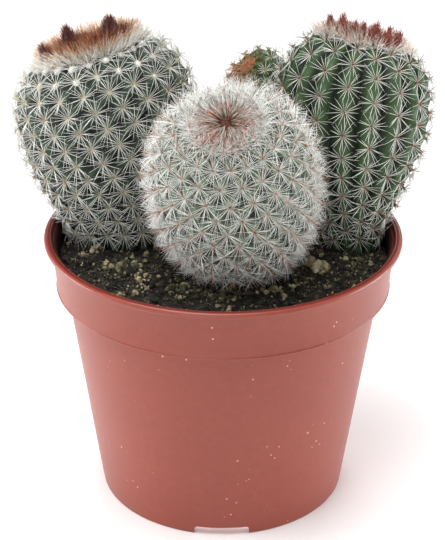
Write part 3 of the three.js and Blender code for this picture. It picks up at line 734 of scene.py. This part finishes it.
def build_clumps(rng):
    yellow = grit_material("yellow_crumb_look", (0.0, (122, 110, 78)), (0.5, (180, 166, 126)),
                           (1.0, (226, 214, 180)))
    olive = grit_material("olive_crumb_look", (0.0, (44, 40, 28)), (0.6, (98, 92, 66)),
                          (1.0, (176, 168, 130)))
    kinds = (("grit_stones", CLUMPS[:YELLOWISH], yellow), ("soil_heaps", CLUMPS[YELLOWISH:], olive))
    for name, clumps, mat in kinds:
        flat, sizes = [], []
        for middle, spread, count, largest in clumps:
            flat.append(np.array(middle) + rng.normal(0, spread, (count, 2)))
            above_smallest = (largest - SMALLEST_CRUMB) * rng.uniform(0, 1, count) ** 2.2
            sizes.append(SMALLEST_CRUMB + above_smallest)
            flat[-1][0] = middle
            sizes[-1][0] = largest
        flat, sizes = np.vstack(flat), np.concatenate(sizes)[:, None]
        keep = on_open_soil(flat)
        places, sizes = laid_on_soil(flat), sizes[keep]
        places[:, 2:] += sizes * 0.45
        radii = sizes * rng.uniform(0.6, 1.1, (len(sizes), 3))
        lumps_object(name, places, random_axes(rng, len(sizes)), radii, 2, mat, rng, 0.2)


def build_fibres(rng):
    mat = spine_material("fibre_look", (62, 52, 36), (118, 104, 74), (172, 158, 122), 0.7)
    roots = scatter(rng, 1100)
    count = len(roots)
    roots[:, 2] += 0.25
    heading = rng.uniform(0, 2 * math.pi, count)
    rise = rng.uniform(0.0, 0.35, count)
    directions = unit(np.stack([np.cos(heading), np.sin(heading), rise], axis=1))
    lengths = rng.uniform(1.2, 5.5, count)
    tips = roots + directions * lengths[:, None]
    inside = np.hypot(tips[:, 0], tips[:, 1]) < SOIL_WALL_R - 1
    droop = unit(rng.normal(0, 1, (count, 3))) * [1, 1, 0.3]
    spines_object("soil_fibres", roots[inside], directions[inside], lengths[inside], 0.2, mat,
                  rng, droop[inside], 0.4)


# ---- Plants ----

def build_body(key, plant, mat):
    """The skin, fine enough for the ribs, the tubercles and the dips between areoles."""
    walked, shares = walk_table(plant)
    per_rib = 6 if plant["tubercled"] else 14
    row_mm = 0.7
    rows = np.concatenate([[0.05, 0.4], np.arange(row_mm, walked[-1], row_mm)])
    rib = np.arange(plant["ribs"] * per_rib) / per_rib
    tt, rr = np.meshgrid(np.interp(rows, walked, shares), rib, indexing="ij")
    steps = np.repeat(rows[:, None] / plant["step"], len(rib), axis=1)
    points = surface(plant, tt, rr, steps)
    crown, foot = axis_frame(plant, 1.0)[0], axis_frame(plant, 0.0)[0]
    flat = np.vstack([points.reshape(-1, 3), crown[None], foot[None]])
    faces = tube_faces(len(rows), len(rib), len(flat) - 2, len(flat) - 1)
    faces = [tuple(reversed(face)) for face in faces]
    # how deep in a groove each point lies; the skin's painted shade darkens with it
    groove = np.append((1 - relief_at(plant, rr, steps)).ravel(), [0.5, 0.5])
    skin = make_object(f"{key}_skin", flat, faces, mat, attributes={"groove": groove})
    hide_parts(f"cactus_{key}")


def fan(rng, spots, count, tilt_low, tilt_high, jitter=0.5):
    """Directions for count spines at each areole, spread evenly round it, and their areole."""
    total = len(spots["point"])
    which = np.repeat(np.arange(total), count)
    turn = np.repeat(rng.uniform(0, 2 * math.pi, total), count)
    angle = turn + np.tile(np.arange(count), total) * 2 * math.pi / count
    angle = angle + rng.normal(0, jitter * math.pi / count, len(angle))
    tilt = np.radians(rng.uniform(tilt_low, tilt_high, len(angle)))
    flat = turned(spots["side"][which], spots["up"][which], angle)
    return unit(turned(spots["outward"][which], flat, tilt)), which


YOUNG_MM = 32.0  # central spines change over this distance from the bare crown down
RADIAL_OUT, RADIAL_ALONG = 0.35, 0.3  # where a radial starts: out of the skin, and along itself
CENTRAL_OUT = 0.3
SHORTEST_RADIAL, SHORTEST = 1.2, 1.0  # spines that would have to be shorter are left out


def build_spines(key, plant, radial_mat, central_mat, rng, radial_tilt, central_tilt, crown_gain,
                 lift=0.0):
    """Radial and central spines at every areole. Tilts are degrees from straight out, crown_gain is
    how much longer the centrals are at the crown, and lift how far they point up along the body."""
    spots = areoles(plant)
    count, length, thick = plant["radials"]
    directions, which = fan(rng, spots, count, *radial_tilt)
    outward = spots["outward"][which]
    roots = spots["point"][which] + outward * RADIAL_OUT + directions * RADIAL_ALONG
    lengths = length * rng.uniform(0.8, 1.12, len(which))
    grow_spines(key, f"{key}_radial_spines", roots, directions, lengths, SHORTEST_RADIAL, thick,
                radial_mat, rng, -outward, 0.1)
    count, length, thick = plant["centrals"]
    directions, which = fan(rng, spots, count, *central_tilt, jitter=1.5)
    young = np.clip(1 - (spots["walked"][which] - plant["bare_r"]) / YOUNG_MM, 0, 1)
    directions = unit(directions + spots["up"][which] * (lift * young)[:, None])
    roots = spots["point"][which] + spots["outward"][which] * CENTRAL_OUT
    lengths = length * rng.uniform(0.75, 1.15, len(which)) * (1 + crown_gain * young)
    tone = np.clip(1 - young * 0.9 + rng.uniform(-0.1, 0.1, len(which)), 0, 1)
    grow_spines(key, f"{key}_central_spines", roots, directions, lengths, SHORTEST, thick,
                central_mat, rng, spots["up"][which], 0.08, tone)
    return spots


def build_areole_wool(key, spots, mat, rng, size, young_gain, young_mm):
    """The felt pad at each areole, larger and whiter within young_mm of the crown."""
    count = len(spots["point"])
    axes = np.stack([spots["side"], spots["up"], spots["outward"]], axis=1)
    young = np.clip(1 - (spots["walked"] - 0.5 * young_mm) / young_mm, 0, 1)
    scale = size * (1 + young_gain * young)[:, None] * rng.uniform(0.85, 1.15, (count, 1))
    sizes = scale * np.array([0.85, 1.0, 0.6])
    places = spots["point"] + spots["outward"] * 0.15
    pick = np.clip(0.3 * rng.uniform(0, 1, count) + 0.75 * young, 0, 1)
    lumps_object(f"{key}_areoles", places, axes, sizes, 2, mat, rng, 0.12, True, pick)


def crown_rise(plant, radius):
    """How far below the crown's middle the dome lies at a radius."""
    t = np.linspace(plant["head_at"], 1, 400)
    centre, along, _, _ = axis_frame(plant, 1.0)
    rise = (axis_frame(plant, t)[0] - centre) @ along
    return np.interp(radius, club_radius(plant, t)[::-1], rise[::-1])


def near_buds(buds, places):
    """1 for flat places on a bud, falling to 0 within a few millimetres."""
    falls_over = 3.0
    gaps = np.linalg.norm(places[:, None] - np.array([bud[:2] for bud in buds])[None], axis=2)
    gaps = np.maximum(0, gaps - [bud[2] for bud in buds]).min(1)
    return np.exp(-(gaps / falls_over) ** 2)


def build_bristles(key, kind, mat, rng, count, radius, length, lean, thick, start=0.0, bend=0.1,
                   hang=None, buds=()):
    """Bristles over the crown, from share start of the radius out to it. lean is how far out they
    point, at the middle and at the radius. They bend outwards, or the way that hang says, and on
    that side they are longer. They are longest round the buds, where there are any."""
    plant = PLANTS[key]
    centre, along, across, other = axis_frame(plant, 1.0)
    share = np.sqrt(start ** 2 + (1 - start ** 2) * (np.arange(count) + 0.5) / count)
    angle = np.arange(count) * GOLDEN + rng.normal(0, 0.2, count)
    out = turned(across, other, angle)
    rise = crown_rise(plant, radius * share)
    places = centre + out * (radius * share)[:, None] + along * rise[:, None]
    leaning = lean[0] + (lean[1] - lean[0]) * share + rng.normal(0, 0.1, count)
    directions = unit(along + out * leaning[:, None] + rng.normal(0, 0.12, (count, 3)))
    lengths = length * rng.uniform(0.65, 1.15, count)
    droop = out
    if hang is not None:
        lengths *= 0.9 + 0.2 * (out @ np.array(hang, float))
        droop = np.tile(np.array(hang, float), (count, 1))
    if buds:
        flat = radius * share[:, None] * np.stack([np.cos(angle), np.sin(angle)], axis=1)
        lengths *= 0.5 + 0.55 * near_buds(buds, flat)
    grow_spines(key, f"{key}_{kind}_bristles", places, directions, lengths, SHORTEST, thick, mat,
                rng, droop, bend)


def build_cushion(key, mat, rng, radius, height):
    """The felted cushion that the crown's bristles stand in."""
    plant = PLANTS[key]
    sides, rings = 72, 14
    centre, along, across, other = axis_frame(plant, 1.0)
    points = []
    for ring in range(rings):
        share = 1 - ring / rings
        base = float(crown_rise(plant, radius * share))
        for i in range(sides):
            angle = i * 2 * math.pi / sides
            place = Vector((share * 6, math.cos(angle) * 4, math.sin(angle) * 4 + plant["seed"]))
            top = base + height * (1 - share ** 2) + 0.35 * noise.noise(place) if ring else base - 0.4
            out = across * math.cos(angle) + other * math.sin(angle)
            points.append(centre + out * radius * share + along * top)
    points += [centre + along * height, centre - along * 1.5]
    faces = tube_faces(rings, sides, len(points) - 1, len(points) - 2)
    pick = rng.uniform(0, 1, len(points))
    cushion = make_object(f"{key}_crown_cushion", points, faces, mat,
                          attributes={"pick": pick})
    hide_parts(f"crown_{key}")


BUD_LEAN, BUD_SINK = 0.018, 0.5  # lean for each millimetre from the middle, and the root's depth


def bud_width(radius, share):
    """A bud's radius at a share of its height: widest low down, and pointed."""
    return radius * (0.85 + 0.35 * share - 1.2 * share ** 2.2)


def build_buds(key, buds, mat, rng, hair_mat, hairs_per_mm2, hair_length):
    """Pointed woolly buds, each a folded cone under hairs that lie up along it. A bud is its place on
    the crown, across it and the other way, and its radius and height."""
    centre, along, across, other = axis_frame(PLANTS[key], 1.0)
    sides, rings, hair_thick = 20, 14, 0.2
    points, faces, pick = [], [], []
    hair_roots, hair_directions = [], []
    for x, y, radius, height in buds:
        axis = unit(along + across * (x * BUD_LEAN) + other * (y * BUD_LEAN))
        first = unit(np.cross(axis, [0, 1.0, 0]))
        second = np.cross(axis, first)
        root = centre + across * x + other * y - along * BUD_SINK
        start = len(points)
        for ring in range(rings):
            share = ring / rings
            for i in range(sides):
                angle = i * 2 * math.pi / sides + share * 0.8
                fold = 1 + 0.1 * math.cos(5 * angle) + 0.06 * rng.normal()
                out = first * math.cos(angle) + second * math.sin(angle)
                points.append(root + axis * height * share + out * bud_width(radius, share) * fold)
        points += [root + axis * height, root - axis * 0.5]
        faces += tube_faces(rings, sides, len(points) - 1, len(points) - 2, start)
        pick += [rng.uniform(0, 1)] * (rings * sides + 2)
        for _ in range(int(hairs_per_mm2 * 5 * radius * height)):
            share, angle = 0.95 * rng.uniform(0, 1) ** 1.2, rng.uniform(0, 2 * math.pi)
            out = first * math.cos(angle) + second * math.sin(angle)
            hair_roots.append(root + axis * height * share + out * bud_width(radius, share) * 0.9)
            hair_directions.append(unit(axis + out * rng.uniform(0.1, 0.4) + rng.normal(0, 0.08, 3)))
    make_object(f"{key}_buds", points, faces, mat, attributes={"pick": pick})
    count = len(hair_roots)
    spines_object(f"{key}_bud_hairs", np.array(hair_roots), np.array(hair_directions),
                  hair_length * rng.uniform(0.6, 1.3, count), hair_thick, hair_mat, rng)


# What makes each plant look as it does. Colours are sRGB. A skin's are for a rib's crest, its slope
# and its groove: the darker slope and groove are painted shade. A spine's run from its root to its tip,
# and the number after them is how much darker the darkest spines are. Felts go from the darkest tuft
# to the lightest. areole, pad, cushion, bristles and hairs are arguments of the functions above: tilts
# are in degrees, and counts are for the whole crown.
WHITE = (252, 252, 248)
CREAM = (240, 230, 206)
DOWN_FRONT, UP_BACK, DOWN_FRONT_LEFT = (0, -0.6, -0.8), (0, 0.5, 0.6), (-0.5, -0.6, -0.6)  # ways to hang
LEFT_BUDS = ((-4.4, -5, 3.4, 9.5), (8.5, -6, 3.6, 9.5), (-12.5, -8, 2.6, 6), (3.5, -9, 2.2, 4.5),
             (12.5, -5, 2.4, 5))
RIGHT_BUDS = ((-11.5, 0, 1.3, 5.5), (-7.6, -2, 1.9, 6.5), (-3.9, -4.6, 1.1, 6), (-1.4, -5.5, 1.2, 6),
              (2.1, -9, 2.1, 7), (6, -11, 1.9, 6.5), (9.6, -8, 1.3, 6), (-5, 7, 1.4, 3.5),
              (3, 9, 1.4, 3.5), (10, 3, 1.4, 4))

LOOKS = {
    "left": dict(
        skin=((80, 96, 76), (44, 58, 42), (9, 15, 9)),
        spines=dict(
            radial=((236, 232, 220), WHITE, WHITE),
            central=((206, 184, 148), (196, 164, 124), (150, 106, 76), 0.3),
            white_bristle=((228, 208, 182), (252, 246, 234), WHITE),
            pale_bristle=(CREAM, (236, 210, 170), (196, 128, 86)),
            brown_bristle=((236, 210, 176), (198, 130, 94), (104, 42, 32), 0.35),
            fuzz=((96, 36, 30), (112, 44, 36), (150, 78, 56), 0.6)),
        felts=dict(
            wool=((0.0, (176, 138, 96)), (0.35, (214, 196, 160)), (0.7, WHITE)),
            cushion=((0.0, (140, 98, 70)), (1.0, (196, 158, 118))),
            bud=((0.0, (52, 18, 20)), (1.0, (92, 34, 30)))),
        areole=dict(radial_tilt=(46, 80), central_tilt=(10, 45), crown_gain=0.2),
        pad=dict(size=0.66, young_gain=1.35, young_mm=28),
        cushion=dict(radius=15.5, height=1.6),
        bristles=dict(
            white=dict(count=1500, radius=18.4, length=5.6, lean=(0.2, 1.1), thick=0.21, start=0.66),
            pale=dict(count=1300, radius=16.2, length=6.0, lean=(0.1, 0.6), thick=0.22, start=0.55),
            brown=dict(count=1500, radius=14.8, length=7.0, lean=(0.0, 0.4), thick=0.22,
                       buds=LEFT_BUDS)),
        buds=LEFT_BUDS, hair_look="fuzz", hairs=dict(hairs_per_mm2=2.2, hair_length=2.0)),
    "front": dict(
        skin=((128, 140, 120), (84, 98, 78), (30, 40, 28)),
        spines=dict(
            radial=(WHITE, WHITE, WHITE, 0.12),
            central=((218, 170, 138), (182, 114, 90), (120, 58, 48), 0.5),
            rust_bristle=((140, 74, 50), (182, 90, 66), (158, 74, 56), 0.4),
            dark_bristle=((84, 44, 30), (98, 48, 34), (136, 76, 54), 0.5),
            beige_bristle=((238, 224, 208), (246, 236, 224), (232, 212, 196)),
            pale_bristle=(WHITE, WHITE, WHITE)),
        felts=dict(
            wool=((0.0, (178, 104, 60)), (0.5, (206, 146, 98)), (1.0, CREAM)),
            cushion=((0.0, (74, 38, 26)), (1.0, (128, 78, 56)))),
        areole=dict(radial_tilt=(34, 80), central_tilt=(10, 50), crown_gain=0.5, lift=1.2),
        pad=dict(size=0.72, young_gain=0.1, young_mm=14),
        cushion=dict(radius=3.0, height=0.3),
        bristles=dict(
            rust=dict(count=90, radius=4.8, length=9.4, lean=(0.7, 2.1), thick=0.24, start=0.12,
                      bend=0.36, hang=DOWN_FRONT),
            dark=dict(count=44, radius=1.9, length=2.3, lean=(0.2, 1.6), thick=0.2),
            beige=dict(count=620, radius=8.0, length=6.0, lean=(0.8, 2.5), thick=0.17, start=0.15,
                       bend=0.3, hang=DOWN_FRONT),
            pale=dict(count=760, radius=11.5, length=5.6, lean=(0.5, 1.8), thick=0.17, start=0.4,
                      hang=UP_BACK))),
    "right": dict(
        skin=((66, 90, 56), (36, 56, 28), (7, 15, 5)),
        spines=dict(
            radial=((232, 226, 212), WHITE, WHITE),
            central=((150, 84, 68), (116, 52, 44), (84, 36, 34), 0.3),
            pale_bristle=(WHITE, (250, 240, 230), (226, 186, 166)),
            rust_bristle=((222, 170, 146), (164, 80, 64), (104, 42, 38), 0.45)),
        felts=dict(
            wool=((0.0, (122, 62, 48)), (0.4, (176, 120, 96)), (1.0, (236, 226, 208))),
            cushion=((0.0, (168, 120, 100)), (1.0, (220, 196, 176))),
            bud=((0.0, (96, 34, 30)), (1.0, (142, 60, 48)))),
        areole=dict(radial_tilt=(50, 82), central_tilt=(10, 40), crown_gain=0.25),
        pad=dict(size=0.62, young_gain=0.5, young_mm=14),
        cushion=dict(radius=12.5, height=1.0),
        bristles=dict(
            pale=dict(count=1300, radius=16.0, length=4.8, lean=(0.0, 0.9), thick=0.2, start=0.3),
            rust=dict(count=520, radius=12.5, length=4.6, lean=(0.05, 0.4), thick=0.24)),
        buds=RIGHT_BUDS, hair_look="rust_bristle", hairs=dict(hairs_per_mm2=2.6, hair_length=1.9)),
    "back": dict(
        skin=((92, 120, 76), (56, 82, 42), (18, 34, 13)),
        spines=dict(
            radial=((232, 226, 208), WHITE, (238, 226, 210)),
            central=((196, 134, 84), (166, 90, 52), (112, 54, 36), 0.4),
            rust_bristle=((222, 172, 126), (196, 122, 80), (142, 78, 52), 0.4)),
        felts=dict(
            wool=((0.0, (176, 128, 84)), (1.0, (236, 226, 204))),
            cushion=((0.0, (120, 66, 36)), (1.0, (176, 116, 70)))),
        areole=dict(radial_tilt=(50, 80), central_tilt=(15, 50), crown_gain=0.3, lift=0.4),
        pad=dict(size=0.5, young_gain=0.4, young_mm=12),
        cushion=dict(radius=3.8, height=0.6),
        bristles=dict(
            rust=dict(count=170, radius=6.5, length=4.4, lean=(0.8, 2.3), thick=0.22, bend=0.3,
                      hang=DOWN_FRONT_LEFT))),
}


def build_plant(key):
    plant, look = PLANTS[key], LOOKS[key]
    rng = np.random.default_rng(plant["seed"])
    thin = {kind: spine_material(f"{key}_{kind}_look", *colours)
            for kind, colours in look["spines"].items()}
    felt = {kind: wool_material(f"{key}_{kind}_look", *stops) for kind, stops in look["felts"].items()}
    build_body(key, plant, skin_material(f"{key}_skin_look", *look["skin"]))
    spots = build_spines(key, plant, thin["radial"], thin["central"], rng, **look["areole"])
    build_areole_wool(key, spots, felt["wool"], rng, **look["pad"])
    build_cushion(key, felt["cushion"], rng, **look["cushion"])
    for kind, shape in look["bristles"].items():
        build_bristles(key, kind, thin[f"{kind}_bristle"], rng, **shape)
    if "buds" in look:
        build_buds(key, look["buds"], felt["bud"], rng, thin[look["hair_look"]], **look["hairs"])


# ---- Stage, light and camera ----

def build_stage():
    mat = Material("floor_look", roughness=0.8)
    mat.colour(mat.ramp(mat.noise(3, 2), (0.0, 0.96), (1.0, 1.0)))
    half = 6.0
    corners = [(-half, -half, 0), (half, -half, 0), (half, half, 0), (-half, half, 0)]
    mesh = bpy.data.meshes.new("floor")
    mesh.from_pydata(corners, [], [(0, 1, 2, 3)])
    mesh.materials.append(mat.data)
    floor = add_object("floor", mesh)


def add_area(name, place_mm, target_mm, size_mm, watts):
    light = bpy.data.lights.new(name, "AREA")
    light.shape = "RECTANGLE"
    light.size, light.size_y = size_mm[0] * MM, size_mm[1] * MM
    light.energy = watts
    obj = add_object(name, light)
    obj.location = Vector(place_mm) * MM
    obj.rotation_euler = (Vector(target_mm) - Vector(place_mm)).to_track_quat("-Z", "Y").to_euler()


def build_light():
    """Soft white light from all round: one lamp overhead, a little to the left, two low ones at the
    sides that brighten the pot's edges, one in front, one behind and above, and a small one under the
    pot's floor for the ground behind the notch."""
    world = bpy.data.worlds.new("studio")
    world.use_nodes = True
    background = world.node_tree.nodes["Background"]
    background.inputs["Color"].default_value = (1.0, 1.0, 1.0, 1.0)
    background.inputs["Strength"].default_value = 0.5
    bpy.context.scene.world = world
    bpy.context.scene.view_settings.view_transform = "Standard"
    add_area("top", (-120, -120, 640), (0, 0, 90), (420, 420), 3.8)
    add_area("left", (-520, 60, 40), (0, 0, 50), (300, 240), 2.7)
    add_area("right", (520, 60, 40), (0, 0, 50), (300, 240), 3.0)
    add_area("front", (-120, -620, 120), (0, 0, 90), (300, 300), 0.85)
    add_area("back", (60, 520, 420), (0, 0, 110), (500, 300), 1.8)
    add_area("under", (0, -31, 2.6), (0, -31, 0), (26, 9), 0.0022)


def build_camera():
    distance, elevation, roll = 616.0, math.radians(26.8), math.radians(0.3)
    target = Vector((-0.2, 0, 79))
    focal_px, image_h_px = 1817.0, 540.0
    back = Vector((0, -math.cos(elevation), math.sin(elevation)))
    right = Vector((1, 0, 0))
    up = back.cross(right)
    turned_right = right * math.cos(roll) + up * math.sin(roll)
    turned_up = back.cross(turned_right)
    data = bpy.data.cameras.new("camera")
    data.sensor_width = 36.0
    data.lens = focal_px * data.sensor_width / image_h_px
    data.clip_start, data.clip_end = 0.01, 50
    camera = add_object("camera", data)
    turn = Matrix((turned_right, turned_up, back)).transposed()
    camera.matrix_world = Matrix.Translation((target + back * distance) * MM) @ turn.to_4x4()
    bpy.context.scene.camera = camera


# ---- The scene ----

build_camera()
build_stage()
build_light()
build_pot()
build_soil(np.random.default_rng(5))
for key in PLANTS:
    build_plant(key)
